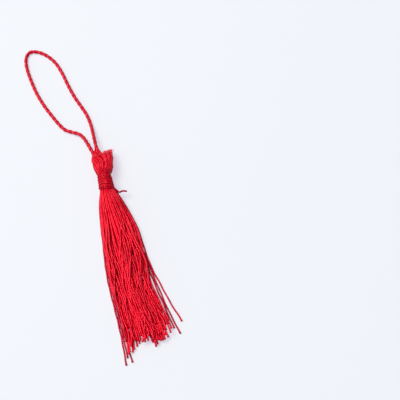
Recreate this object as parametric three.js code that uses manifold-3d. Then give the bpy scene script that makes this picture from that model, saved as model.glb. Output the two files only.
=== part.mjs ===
// A small silky tassel lying on its side: a hank of yarn folded over a hanging loop, bound at the
// neck, with a skirt of cut ends that fans out on the surface.
// Millimetres, +Z up from the surface, +Y from the cut ends towards the head.
import * as THREE from "three";
import { mergeVertices } from "three/addons/utils/BufferGeometryUtils.js";
import Module from "manifold-3d";

// Driving dimensions
const GAP = 0.3; // clearance between pieces that touch on the real tassel
const NECK_HEIGHT = 3.9; // height of the neck's axis above the surface
const CORE_RADIUS = 1.95; // the hank where the binding squeezes it
const BINDING_RADIUS = 2.65; // outside of the binding
const BINDING_START = 25.3; // Y of the binding's skirt end
const NECK_END = 32; // Y where the head starts to swell
const BINDING_TURNS = 13;
const TURN_PITCH = 0.455; // one turn of the binding thread
const THREAD_THICKNESS = 0.36;
const CORD_DIAMETER = 1.4;
const CORD_SIDES = 8;
const CORD_STEPS = 76;
const RIB_COUNT = 36; // yarns round the head
const RIB_DEPTH = 0.13;
const RIB_TWIST = 0.16; // radians of lean from neck to crown
const STRAND_COLUMNS = 27;
const STRAND_LAYERS = 6;
const STRAND_RADIUS = 0.25; // to a corner of the three-sided strand
const STRAND_SHARE = 0.46; // the radius as a share of the space between columns, nearer the neck
const STATIONS = [24.5, 21.5, 17.5, 12.5, 4, -10, -24]; // Y of a strand's corners before its cut end
const SETTLE_LENGTH = 12.5; // length over which the skirt sinks to the surface
const PILE_SHAPE = 0.8; // below 1 the pile's flanks are fuller than an ellipse
const DRIFT_SHAPE = 1.5; // above 1 a stray strand leaves the skirt slowly
const WAVE_SIZE = 0.35;
const WAVE_LENGTH = 27;
const WAVE_STAGGER = 1.8; // radians from the skirt's middle to its edge
const HEAD_LOBES = 3; // broad unevenness of the head, as a share of its width
const HEAD_LOBE_SIZE = 0.03;
const HEAD_LOBE_START = 1.2;
const HEAD_LOBE_TURN = 4; // radians from neck to crown
const TUFT_COLUMNS = 4;
const TUFT_LEVELS = 3;
const TUFT_RADIUS = 0.14;
const TUFT_ROOT = { x: 0.1, y: 39.3, z: 2.3, columnStep: 0.42, levelStep: 1.0 };
const TUFT_TIP = { x: 0.45, y: 41, z: 2.4, columnStep: 0.62, levelStep: 1.15 };
const TUFT_DROP = 0.4; // from one level's tips to the next one's
const TUFT_UNEVENNESS = 0.6;
const YARN_RED = 0xd8102a;
const CORD_RED = 0xcc0f28;

// Sections of the hank from the neck's lower end to the crown
const HEAD = [
  { y: 23.9, x: -3.2, z: 3.85, halfWidth: 2.45, halfDepth: 2.4, rib: 0.3 },
  { y: 24.5, x: -3.2, z: 3.85, halfWidth: 2.5, halfDepth: 2.45, rib: 0.3 },
  { y: 25.0, x: -3.2, z: NECK_HEIGHT, halfWidth: CORE_RADIUS, halfDepth: CORE_RADIUS, rib: 0 },
  { y: 31.6, x: -2.72, z: NECK_HEIGHT, halfWidth: CORE_RADIUS, halfDepth: CORE_RADIUS, rib: 0 },
  { y: 32.1, x: -2.68, z: 3.85, halfWidth: 2.8, halfDepth: 2.75, rib: 0.5 },
  { y: 33.4, x: -2.55, z: 3.6, halfWidth: 3.2, halfDepth: 3.2, rib: 1 },
  { y: 35.4, x: -2.45, z: 3.35, halfWidth: 3.65, halfDepth: 3.5, rib: 1 },
  { y: 37.7, x: -2.1, z: 3.25, halfWidth: 3.9, halfDepth: 3.6, rib: 1 },
  { y: 39.2, x: -1.9, z: 3.1, halfWidth: 3.95, halfDepth: 3.15, rib: 1 },
  { y: 40.2, x: -1.7, z: 3.0, halfWidth: 3.7, halfDepth: 2.0, rib: 0.6 },
  { y: 40.6, x: -1.6, z: 3.0, halfWidth: 3.1, halfDepth: 1.3, rib: 0.2 },
];
const CROWN_RISE = 0.15;
const CROWN_LEAN = 0.01; // per mm above the neck: the crown's left side sits lower, at the loop

// The skirt's outline on the surface and its height, from the neck to the cut ends
const SKIRT = [
  { y: 24.5, middle: -3.2, halfWidth: 2.15, height: 5.6 },
  { y: 20, middle: -2.9, halfWidth: 4.0, height: 5.3 },
  { y: 15, middle: -2.6, halfWidth: 5.1, height: 4.9 },
  { y: 10, middle: -2.4, halfWidth: 5.9, height: 4.5 },
  { y: 5, middle: -2.4, halfWidth: 6.5, height: 4.2 },
  { y: 0, middle: -2.5, halfWidth: 6.9, height: 4.0 },
  { y: -5, middle: -2.7, halfWidth: 7.3, height: 3.8 },
  { y: -10, middle: -2.9, halfWidth: 7.5, height: 3.6 },
  { y: -15, middle: -2.9, halfWidth: 7.7, height: 3.4 },
  { y: -20, middle: -2.5, halfWidth: 8.2, height: 3.2 },
  { y: -26, middle: -1.9, halfWidth: 8.7, height: 3.0 },
  { y: -32, middle: -1.3, halfWidth: 9.3, height: 2.8 },
  { y: -41, middle: -0.6, halfWidth: 10.6, height: 2.4 },
];

// Where the strands are cut, across the skirt from left (-1) to right (1)
const CUT_LINE = [
  { side: -1, y: -40.2 },
  { side: -0.9, y: -38.2 },
  { side: -0.8, y: -36 },
  { side: -0.5, y: -35.2 },
  { side: 0, y: -34.8 },
  { side: 0.4, y: -34.4 },
  { side: 0.7, y: -33 },
  { side: 1, y: -33.4 },
];
const CUT_UNEVENNESS = 2.6;

// Single strands that leave the skirt's edges, spread on the surface and end apart
const STRAYS = [
  { column: 26, level: 0, leaves: -4, outward: 3.6, cutAt: -30.7 },
  { column: 26, level: 1, leaves: -10, outward: 1.7, cutAt: -34.5 },
  { column: 25, level: 0, leaves: -12, outward: 0.9, cutAt: -32 },
  { column: 0, level: 0, leaves: 0, outward: -0.5, cutAt: -41 },
  { column: 0, level: 1, leaves: 0, outward: -0.2, cutAt: -36.5 },
  { column: 1, level: 0, leaves: 0, outward: -0.1, cutAt: -39.8 },
];

// The hanging loop's route, out of the crown on the left and back into it on the right
const LOOP_ROUTE = [
  [-4.7, 40.66, 3.6],
  [-5.4, 43.6, 3.6],
  [-6.1, 46.6, 3.1],
  [-6.9, 49.6, 2.2],
  [-8.2, 52.0, 1.4],
  [-10.4, 53.7, 0.95],
  [-12.8, 55.4, 0.78],
  [-14.6, 58.2, 0.75],
  [-16.5, 62.5, 0.75],
  [-18.7, 68.2, 0.75],
  [-20.4, 74.2, 0.75],
  [-21.4, 80.2, 0.75],
  [-22.0, 86.0, 0.75],
  [-21.6, 91.0, 0.75],
  [-19.6, 93.8, 0.75],
  [-16.4, 93.2, 0.75],
  [-13.2, 90.5, 0.75],
  [-10.6, 86.3, 0.75],
  [-9.0, 81.0, 0.75],
  [-7.9, 75.0, 0.75],
  [-6.6, 69.3, 0.75],
  [-5.0, 64.4, 0.75],
  [-3.7, 60.2, 0.78],
  [-3.1, 56.0, 1.0],
  [-3.0, 51.8, 1.8],
  [-3.1, 47.4, 3.0],
  [-3.15, 44.0, 3.6],
  [-3.1, 40.93, 3.8],
];

// The binding's cut tail, from inside its last turn out over the skirt's edge
const TAIL_ROUTE = [
  [-1.35, 25.7, 5.5],
  [-0.55, 25.3, 4.7],
  [0.1, 24.5, 4.1],
  [0.75, 23.75, 3.7],
  [1.65, 23.2, 3.4],
  [2.85, 23.5, 3.2],
  [3.9, 23.15, 3.0],
];

const wasm = await Module();
wasm.setup();

// A closed geometry as a solid that can be joined and cut
function solidOf(geometry) {
  geometry.deleteAttribute("normal");
  geometry.deleteAttribute("uv");
  const merged = mergeVertices(geometry, 1e-4);
  const vertProperties = new Float32Array(merged.attributes.position.array);
  const triVerts = new Uint32Array(merged.index.array);
  return new wasm.Manifold(new wasm.Mesh({ numProp: 3, vertProperties, triVerts }));
}

function geometryOf(solid) {
  const { vertProperties, triVerts } = solid.getMesh();
  const geometry = new THREE.BufferGeometry();
  geometry.setAttribute("position", new THREE.BufferAttribute(vertProperties, 3));
  geometry.setIndex(new THREE.BufferAttribute(triVerts, 1));
  geometry.computeVertexNormals();
  return geometry;
}

// The value of a column at a place between a table's rows
function valueAt(rows, key, place, column) {
  const rising = rows[rows.length - 1][key] > rows[0][key];
  const after = rows.findIndex((row) => (rising ? row[key] >= place : row[key] <= place));
  if (after === 0) return rows[0][column];
  if (after < 0) return rows[rows.length - 1][column];
  const a = rows[after - 1];
  const b = rows[after];
  return THREE.MathUtils.mapLinear(place, a[key], b[key], a[column], b[column]);
}

// Even but unordered numbers from 0 to 1, the same on each run
function scatter(index) {
  const value = Math.sin(index * 12.9898) * 43758.5453;
  return value - Math.floor(value);
}

// Moves each point of a unit cylinder standing on Y, given its share of the length and its angle
function bend(geometry, place) {
  const position = geometry.attributes.position;
  const point = new THREE.Vector3();
  for (let i = 0; i < position.count; i++) {
    point.fromBufferAttribute(position, i);
    const share = point.y + 0.5;
    const reach = Math.hypot(point.x, point.z);
    const angle = Math.atan2(point.z, point.x);
    position.setXYZ(i, ...place(share, reach, angle));
  }
  return geometry;
}

// The head and the neck's core, ribbed lengthwise by the yarns that fold over the crown
function headSolid() {
  const sides = 2 * RIB_COUNT;
  const spans = HEAD.length - 1;
  const geometry = new THREE.CylinderGeometry(1, 1, 1, sides, spans);
  bend(geometry, (share, reach, angle) => {
    const row = HEAD[Math.round(share * spans)];
    const onCrown = row === HEAD[spans];
    const ridge = Math.round((angle / Math.PI) * RIB_COUNT) % 2 === 0 ? 0.5 : -0.5;
    const lobe = Math.sin(HEAD_LOBES * angle + HEAD_LOBE_START + HEAD_LOBE_TURN * share);
    const scale = reach * (1 + HEAD_LOBE_SIZE * row.rib * lobe);
    const turned = angle + RIB_TWIST * share;
    const ribbed = reach * ridge * RIB_DEPTH * row.rib;
    const x = row.x + Math.cos(turned) * (scale * row.halfWidth + ribbed);
    const z = row.z + Math.sin(turned) * (scale * row.halfDepth + ribbed);
    const rise = onCrown ? CROWN_RISE * (1 - reach) : 0;
    const lean = CROWN_LEAN * Math.max(row.y - NECK_END, 0) * (x - row.x);
    return [x, row.y + rise + lean, Math.max(z, 0)];
  });
  return solidOf(geometry);
}

// One strand as a thin three-sided rod with a flat side down, following its own route in Y
function strandSolid(strand) {
  const places = [...STATIONS, strand.cutAt];
  const spans = places.length - 1;
  const geometry = new THREE.CylinderGeometry(1, 1, 1, 3, spans);
  bend(geometry, (share, reach, angle) => {
    const y = places[Math.round((1 - share) * spans)];
    const space = (2 * valueAt(SKIRT, "y", y, "halfWidth")) / STRAND_COLUMNS;
    const radius = Math.min(STRAND_RADIUS, STRAND_SHARE * space);
    const centre = strandCentre(strand, y, radius);
    return [centre.x + reach * radius * Math.cos(angle), y, centre.z + reach * radius * Math.sin(angle)];
  });
  return solidOf(geometry);
}

// The neck's section is round and the skirt's is a pile that rests on the surface
function strandCentre({ side, layer, leaves, outward, cutAt }, y, radius) {
  const settled = THREE.MathUtils.smoothstep(STATIONS[0] - y, 0, SETTLE_LENGTH);
  const gone = Math.max(leaves - y, 0) / (leaves - cutAt);
  const roundness = Math.sqrt(1 - side ** 2);
  const rootZ = NECK_HEIGHT + (CORE_RADIUS + GAP / 2) * roundness * (2 * layer - 1);
  const pile = (valueAt(SKIRT, "y", y, "height") - 2 * STRAND_RADIUS) * roundness ** PILE_SHAPE;
  const sinking = Math.abs(outward) > 1 ? 1 - gone : 1;
  const restingZ = radius / 2 + pile * layer * sinking;
  const wave = WAVE_SIZE * settled * Math.sin((y / WAVE_LENGTH) * 2 * Math.PI + WAVE_STAGGER * side);
  const spread = side * valueAt(SKIRT, "y", y, "halfWidth") + outward * gone ** DRIFT_SHAPE;
  return {
    x: valueAt(SKIRT, "y", y, "middle") + spread + wave,
    z: THREE.MathUtils.lerp(rootZ, restingZ, settled),
  };
}

// All the strands: columns across the skirt, each piled in layers
function skirtStrands() {
  const strands = [];
  for (let column = 0; column < STRAND_COLUMNS; column++) {
    const side = ((column + 0.5) / STRAND_COLUMNS) * 2 - 1;
    const layers = Math.max(2, Math.round(STRAND_LAYERS * Math.sqrt(1 - side ** 2)));
    for (let level = 0; level < layers; level++) {
      const stray = STRAYS.find((row) => row.column === column && row.level === level);
      const cut = valueAt(CUT_LINE, "side", side, "y");
      const uneven = CUT_UNEVENNESS * (scatter(column * STRAND_LAYERS + level) - 0.4);
      const strand = { side, layer: level / (layers - 1), leaves: 0, outward: 0, cutAt: cut + uneven };
      strands.push({ ...strand, ...stray });
    }
  }
  return strands;
}

// Cut filament ends standing up from the crown's right corner
function tuftSolids() {
  const solids = [];
  for (let i = 0; i < TUFT_COLUMNS * TUFT_LEVELS; i++) {
    const column = i % TUFT_COLUMNS;
    const level = Math.floor(i / TUFT_COLUMNS);
    const [root, tip] = [TUFT_ROOT, TUFT_TIP].map(
      (end) => new THREE.Vector3(end.x + column * end.columnStep, end.y, end.z + level * end.levelStep),
    );
    tip.y += TUFT_UNEVENNESS * scatter(i) - TUFT_DROP * level;
    const geometry = new THREE.CylinderGeometry(1, 1, 1, 3, 1);
    bend(geometry, (along, reach, angle) => {
      const centre = root.clone().lerp(tip, along);
      const radius = TUFT_RADIUS * reach;
      return [centre.x + radius * Math.cos(angle), centre.y, centre.z + radius * Math.sin(angle)];
    });
    solids.push(solidOf(geometry));
  }
  return solids;
}

function tasselBody() {
  let body = headSolid();
  for (const strand of skirtStrands()) body = body.add(strandSolid(strand));
  for (const lock of tuftSolids()) body = body.add(lock);
  return geometryOf(body);
}

// A rod of regular section along a smooth route
function rodAlong(route, radius, sides, steps) {
  const corners = [];
  for (let i = 0; i < sides; i++) {
    const angle = (i / sides) * 2 * Math.PI;
    corners.push(new THREE.Vector2(radius * Math.cos(angle), radius * Math.sin(angle)));
  }
  const extrudePath = new THREE.CatmullRomCurve3(route.map((point) => new THREE.Vector3(...point)));
  const shape = new THREE.Shape(corners);
  return new THREE.ExtrudeGeometry(shape, { extrudePath, steps, bevelEnabled: false });
}

// The binding: a sleeve with a ridge for each turn of thread, and the thread's cut tail
function neckBinding() {
  const inner = CORE_RADIUS + GAP;
  const length = BINDING_TURNS * TURN_PITCH;
  const valley = BINDING_RADIUS - THREAD_THICKNESS / 2;
  const profile = [new THREE.Vector2(inner, 0), new THREE.Vector2(valley, 0)];
  for (let turn = 0; turn < BINDING_TURNS; turn++) {
    const ridge = BINDING_RADIUS - 0.08 * scatter(turn + 5);
    profile.push(new THREE.Vector2(ridge, (turn + 0.5) * TURN_PITCH));
    profile.push(new THREE.Vector2(valley, (turn + 1) * TURN_PITCH));
  }
  profile.push(new THREE.Vector2(inner, length), new THREE.Vector2(inner, 0));
  const sleeve = new THREE.LatheGeometry(profile, 24);
  const start = valueAt(HEAD, "y", BINDING_START, "x");
  const end = valueAt(HEAD, "y", BINDING_START + length, "x");
  sleeve.rotateZ(-Math.atan2(end - start, length));
  sleeve.translate(start, BINDING_START, NECK_HEIGHT);
  const tail = rodAlong(TAIL_ROUTE, THREAD_THICKNESS / 2, 4, 10);
  return geometryOf(solidOf(sleeve).add(solidOf(tail)));
}

function hangingLoop() {
  return rodAlong(LOOP_ROUTE, CORD_DIAMETER / 2, CORD_SIDES, CORD_STEPS);
}

function namedMesh(name, geometry, color, roughness) {
  const material = new THREE.MeshStandardMaterial({ color, roughness, metalness: 0, flatShading: true });
  const mesh = new THREE.Mesh(geometry, material);
  mesh.name = name;
  return mesh;
}

const tassel = new THREE.Group();
tassel.add(namedMesh("tassel_body", tasselBody(), YARN_RED, 0.38));
tassel.add(namedMesh("neck_binding", neckBinding(), YARN_RED, 0.34));
tassel.add(namedMesh("hanging_loop", hangingLoop(), CORD_RED, 0.42));

export default tassel;
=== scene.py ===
"""The looks of a small red silky tassel that lies on a pale table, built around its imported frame.

Lengths in the tables are millimetres in the frame's own axes: +Y from the cut ends to the head.
"""

import math

import bpy
import numpy as np
from bpy.props import FloatProperty, FloatVectorProperty, IntProperty, PointerProperty
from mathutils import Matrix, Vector


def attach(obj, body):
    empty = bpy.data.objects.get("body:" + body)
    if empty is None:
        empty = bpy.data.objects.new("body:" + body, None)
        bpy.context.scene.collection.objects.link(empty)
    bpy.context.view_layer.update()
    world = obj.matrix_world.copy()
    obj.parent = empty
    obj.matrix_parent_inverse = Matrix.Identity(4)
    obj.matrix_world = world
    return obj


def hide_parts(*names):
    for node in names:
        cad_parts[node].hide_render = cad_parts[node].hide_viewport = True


bl_info = {
    "name": "Silky Tassel",
    "version": (1, 0, 0),
    "blender": (4, 5, 0),
    "location": "View3D > Sidebar > Tassel",
    "description": "Lays the yarns, binding thread and hanging loop of a small tassel around its frame",
    "category": "Add Mesh",
}

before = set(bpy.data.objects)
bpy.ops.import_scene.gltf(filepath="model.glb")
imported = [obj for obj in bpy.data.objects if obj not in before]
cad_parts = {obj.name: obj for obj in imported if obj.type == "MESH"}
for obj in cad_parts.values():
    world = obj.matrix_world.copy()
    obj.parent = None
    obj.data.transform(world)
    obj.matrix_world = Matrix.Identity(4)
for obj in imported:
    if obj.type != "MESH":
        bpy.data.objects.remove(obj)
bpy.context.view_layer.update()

MM = 0.001
BODY = "root"
GOLDEN_ANGLE = math.pi * (3 - math.sqrt(5))


class Sections:
    """A short table of sections along Y, read smoothly between its rows."""

    def __init__(self, names, *rows):
        rows = sorted(rows)
        self.places = np.array([row[0] for row in rows])
        self.columns = {name: np.array([row[i] for row in rows]) for i, name in enumerate(names)}

    def at(self, name, y):
        values = self.columns[name]
        slopes = np.gradient(values, self.places)
        low = np.clip(np.searchsorted(self.places, y) - 1, 0, len(values) - 2)
        span = self.places[low + 1] - self.places[low]
        t = np.clip((y - self.places[low]) / span, 0, 1)
        start = values[low] * (1 + 2 * t) * (1 - t) ** 2 + slopes[low] * span * t * (1 - t) ** 2
        end = values[low + 1] * t**2 * (3 - 2 * t) + slopes[low + 1] * span * t**2 * (t - 1)
        return start + end


# The folded hank from the neck to the crown
NECK_Z = 3.9
NECK_LOW = 24.6
NECK_HIGH = 31.3
BINDING_RADIUS = 2.65
HEAD = Sections(
    ("y", "x", "z", "half_width", "half_depth"),
    (24.0, -3.25, 3.85, 2.30, 2.25),
    (25.2, -3.20, NECK_Z, 2.10, 2.10),
    (26.5, -3.10, NECK_Z, 2.10, 2.10),
    (30.8, -2.78, NECK_Z, 2.10, 2.10),
    (31.6, -2.62, 3.88, 2.62, 2.45),
    (32.3, -2.52, 3.80, 3.00, 2.85),
    (33.4, -2.43, 3.60, 3.34, 3.22),
    (35.4, -2.45, 3.35, 3.66, 3.50),
    (37.7, -2.10, 3.25, 3.90, 3.60),
    (39.4, -1.85, 3.15, 3.98, 3.60),
    (41.2, -1.75, 3.10, 4.00, 3.60),
)

# From this Y the head's front and back bend towards each other, to meet at the crown
FOLD_Y = 37.8
CROWN_Y = 39.95
CORNER_RISE = 0.3
# Dips of the crown: place across, width and depth. The loop's cords go in at the first
DIPS = ((-3.8, 0.6, 0.1), (0.2, 0.35, 0.35))
# The cut yarns at the right end where scissors passed: Y at the table, and its fall per mm of height
CUT_Y = 43.0
CUT_SLOPE = 0.54

# The head's front: bundles of yarns between guide lines. Each line's X is given at five heights and
# at the crown. The left bundle gathers at the crown's left corner and fans out over the front, a
# dark hollow parts it from the middle one, and the right one rises straight
GUIDE_HEIGHTS = (31.3, 33.5, 35.5, 37.0, 38.5, 40.4)
BUNDLES = (
    (
        11,
        (-4.85, -5.45, -5.95, -6.00, -5.85, -5.30),
        (-3.75, -3.75, -3.60, -4.15, -4.95, -5.15),
        (-2.60, -2.15, -1.80, -2.15, -3.65, -4.85),
    ),
    (
        7,
        (-2.45, -1.90, -1.45, -1.50, -2.55, -3.80),
        (-1.85, -1.05, -0.60, -0.60, -0.90, -1.50),
    ),
    (
        10,
        (-1.75, -0.95, -0.50, -0.40, -0.50, -0.80),
        (-0.95, 0.05, 0.50, 0.75, 0.80, 0.75),
        (-0.35, 0.72, 1.20, 1.50, 1.68, 1.72),
    ),
)
# Yarns that the loop's cords pulled up out of the fold, and that lie against them
PULLED_UP = (
    ((-1.35, 38.8, 4.7), (-1.95, 40.4, 4.5), (-2.40, 41.8, 4.1), (-2.65, 43.0, 3.8), (-3.05, 44.4, 3.3)),
    ((-1.95, 38.8, 4.9), (-2.35, 40.5, 4.7), (-2.70, 41.9, 4.4), (-2.95, 43.0, 4.0), (-3.15, 44.2, 3.3)),
    ((-3.75, 39.4, 4.6), (-3.95, 40.5, 4.2), (-4.00, 41.7, 4.0), (-3.85, 42.6, 3.8), (-3.4, 43.6, 3.3)),
    ((-4.30, 39.4, 4.6), (-4.20, 40.4, 4.2), (-4.30, 41.4, 3.9), (-4.55, 42.2, 3.7), (-5.1, 43.0, 3.4)),
)
# The hollow in front of the cords: X and Y of its deepest place, and its slant and depth
HOLLOW = (-3.2, 38.6, -0.8, 1.2)

# The skirt's outline on the table and its height, from inside the binding to the cut ends, and
# how thick its yarns are there: they swell once the binding lets them go
SKIRT = Sections(
    ("y", "middle", "half_width", "height", "yarn"),
    (27.0, -3.05, 1.95, 5.6, 0.58),
    (25.2, -3.14, 2.15, 5.6, 0.62),
    (24.5, -3.16, 2.60, 5.6, 0.70),
    (23.7, -3.14, 2.95, 5.6, 0.78),
    (22.5, -3.05, 3.25, 5.5, 0.88),
    (20.0, -2.95, 4.05, 5.3, 0.95),
    (15.0, -2.50, 5.25, 4.9, 1.0),
    (10.0, -2.25, 6.10, 4.5, 1.0),
    (5.0, -2.30, 6.55, 4.2, 1.0),
    (0.0, -2.45, 6.85, 4.0, 1.0),
    (-5.0, -2.60, 6.95, 3.8, 1.0),
    (-10.0, -2.85, 6.75, 3.6, 1.0),
    (-15.0, -2.75, 6.75, 3.4, 1.0),
    (-20.0, -2.05, 7.20, 3.2, 1.0),
    (-26.0, -1.45, 7.65, 3.0, 1.0),
    (-32.0, -1.10, 8.05, 2.8, 1.0),
    (-42.0, -1.00, 8.60, 2.4, 1.0),
)

# Where the longest yarns are cut, from the skirt's left edge (-1) to its right edge (1)
CUT_LINE = Sections(
    ("side", "y"),
    (-1.0, -36.4),
    (-0.8, -36.8),
    (-0.64, -35.3),
    (-0.5, -34.9),
    (-0.3, -34.0),
    (-0.08, -35.3),
    (0.1, -34.1),
    (0.25, -34.2),
    (0.43, -35.5),
    (0.6, -34.3),
    (0.75, -33.1),
    (0.94, -31.8),
    (1.0, -31.5),
)

# Single yarns beside the skirt: the side of the skirt each belongs to, and its place across at
# points of Y from where it leaves the skirt to its cut end
STRAYS = (
    (0.99, ((15, 2.9), (9, 4.35), (2, 4.75), (-8.4, 5.4), (-11, 6.3), (-15, 7.3), (-24, 9.3), (-30, 11.6))),
    (0.96, ((0, 4.5), (-6.7, 4.95), (-10.2, 5.5), (-16, 6.2), (-21.6, 7.0), (-27.2, 7.9), (-34.2, 9.8))),
    (0.93, ((-4, 4.3), (-8.8, 4.8), (-14.5, 5.2), (-18, 5.8), (-21, 6.3), (-28.2, 7.3), (-31.8, 8.1))),
    (-0.99, ((4, -9.5), (-3.7, -10.3), (-9.8, -10.6), (-25.7, -10.5), (-35, -10.9), (-40.4, -11.3))),
    (-0.96, ((0, -9.0), (-10.7, -9.5), (-20.6, -9.5), (-29.2, -9.1), (-36.4, -8.9), (-39.9, -8.9))),
    (-0.93, ((3, -8.7), (-5.1, -9.5), (-12, -10.1), (-20, -9.9), (-30, -10.0), (-38, -10.2))),
)

# The hanging loop's route, in metres: out of the crown on the left and back on the right
LOOP_ROUTE = (
    (-0.00470, 0.04066, 0.00360),
    (-0.00540, 0.04360, 0.00360),
    (-0.00610, 0.04660, 0.00310),
    (-0.00690, 0.04960, 0.00220),
    (-0.00820, 0.05200, 0.00140),
    (-0.01040, 0.05370, 0.00095),
    (-0.01280, 0.05540, 0.00078),
    (-0.01460, 0.05820, 0.00075),
    (-0.01650, 0.06250, 0.00075),
    (-0.01870, 0.06820, 0.00075),
    (-0.02040, 0.07420, 0.00075),
    (-0.02140, 0.08020, 0.00075),
    (-0.02200, 0.08600, 0.00075),
    (-0.02160, 0.09100, 0.00075),
    (-0.01960, 0.09380, 0.00075),
    (-0.01640, 0.09320, 0.00075),
    (-0.01320, 0.09050, 0.00075),
    (-0.01060, 0.08630, 0.00075),
    (-0.00900, 0.08100, 0.00075),
    (-0.00790, 0.07500, 0.00075),
    (-0.00660, 0.06930, 0.00075),
    (-0.00500, 0.06440, 0.00075),
    (-0.00370, 0.06020, 0.00078),
    (-0.00310, 0.05600, 0.00100),
    (-0.00300, 0.05180, 0.00180),
    (-0.00310, 0.04740, 0.00300),
    (-0.00315, 0.04400, 0.00360),
    (-0.00310, 0.04093, 0.00380),
)

# The binding thread's cut tail, from inside its last turn out over the skirt's edge
TAIL_ROUTE = (
    (-2.30, 25.75, 6.20),
    (-1.35, 25.45, 5.65),
    (-0.60, 24.85, 4.80),
    (-0.05, 24.20, 4.20),
    (0.40, 23.75, 3.90),
    (0.95, 23.15, 3.55),
    (2.45, 23.45, 3.25),
    (4.00, 22.95, 3.05),
)

# The point on the table that the camera looks at
AIM = (29.3, 14.0, 0)
# The window from that point, in metres: to the camera's right, ahead of the camera and up
WINDOW = (-0.48, 0.18, 1.02)
TABLE_REACH = 3.0


def srgb(hex_colour):
    """The linear colour of an sRGB hex value."""
    channels = [int(hex_colour[i : i + 2], 16) / 255 for i in (1, 3, 5)]
    linear = [c / 12.92 if c <= 0.04045 else ((c + 0.055) / 1.055) ** 2.4 for c in channels]
    return (*linear, 1.0)


def length_setting(name, description, millimetres):
    return FloatProperty(
        name=name, description=description, default=millimetres * MM, unit="LENGTH", subtype="DISTANCE"
    )


def angle_setting(name, description, degrees):
    return FloatProperty(
        name=name, description=description, default=math.radians(degrees), unit="ROTATION", subtype="ANGLE"
    )


def colour_setting(name, description, hex_colour):
    value = srgb(hex_colour)[:3]
    return FloatVectorProperty(name=name, description=description, default=value, subtype="COLOR")


class YarnSettings(bpy.types.PropertyGroup):
    """The hank of yarn that forms the head and the skirt."""

    count: IntProperty(name="Yarns", description="Yarns in the skirt", default=126, min=20)
    thickness: length_setting("Thickness", "Thickness of a relaxed yarn", 0.61)
    twist_length: length_setting("Twist length", "Length of one turn of the yarn's two plies", 6.5)
    folds: IntProperty(name="Folds", description="Yarns across the head's front", default=24, min=5)
    deep: colour_setting("Deep red", "Darkest yarn", "#C00018")
    bright: colour_setting("Bright red", "Brightest yarn", "#E20222")
    # The crimson is painted shade: lone yarns, the thread's tail and the cord's grooves are darkened to it
    crimson: colour_setting("Crimson", "Lone yarns and tails", "#74062C")
    seed: IntProperty(name="Seed", description="Seed of the yarns' unevenness", default=7)


class BindingSettings(bpy.types.PropertyGroup):
    """The thread wound round the neck."""

    thickness: length_setting("Thread thickness", "Thickness of the binding thread", 0.45)
    turns: IntProperty(name="Turns", description="Turns round the neck", default=14, min=1)
    seed: IntProperty(name="Seed", description="Seed of the winding's unevenness", default=3)


class LoopSettings(bpy.types.PropertyGroup):
    """The twisted cord that the tassel hangs by."""

    diameter: length_setting("Cord diameter", "Diameter over both plies", 1.4)
    lay_length: length_setting("Lay length", "Length of one turn of the two plies", 4.5)


class StageSettings(bpy.types.PropertyGroup):
    """The table, the light and the camera."""

    elevation: angle_setting("Elevation", "Camera's angle above the table", 65)
    heading: angle_setting("Heading", "Camera's turn from +Y towards +X", 15)
    distance: length_setting("Distance", "From the camera to the point it looks at", 350)
    table: colour_setting("Table", "Colour of the table", "#93A196")


def add_node(tree, kind, inputs=None, **settings):
    """Adds a node with its settings; each input takes a value or another node's output."""
    node = tree.nodes.new(kind)
    for name, value in settings.items():
        setattr(node, name, value)
    for key, value in (inputs or {}).items():
        if isinstance(value, bpy.types.NodeSocket):
            tree.links.new(value, node.inputs[key])
        else:
            node.inputs[key].default_value = value
    return node


def placed(name, data):
    """A new object of the data, in the scene."""
    thing = bpy.data.objects.new(name, data)
    bpy.context.scene.collection.objects.link(thing)
    return thing


def maths(tree, operation, a, b=0.0):
    return add_node(tree, "ShaderNodeMath", {0: a, 1: b}, operation=operation).outputs[0]


def remap(tree, value, low, high, at_low, at_high):
    """Carries a value from the range low to high over to another, and holds it at both ends."""
    inputs = {"Value": value, "From Min": low, "From Max": high, "To Min": at_low, "To Max": at_high}
    return add_node(tree, "ShaderNodeMapRange", inputs).outputs["Result"]


def smooth_share(value):
    """0 below 0, 1 above 1, and a smooth step between."""
    t = np.clip(value, 0, 1)
    return t * t * (3 - 2 * t)


def new_material(name, surface):
    """A node material whose Principled surface has the given values."""
    material = bpy.data.materials.new(name)
    material.use_nodes = True
    shader = material.node_tree.nodes["Principled BSDF"]
    for key, value in surface.items():
        shader.inputs[key].default_value = value
    return material, material.node_tree, shader


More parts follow.
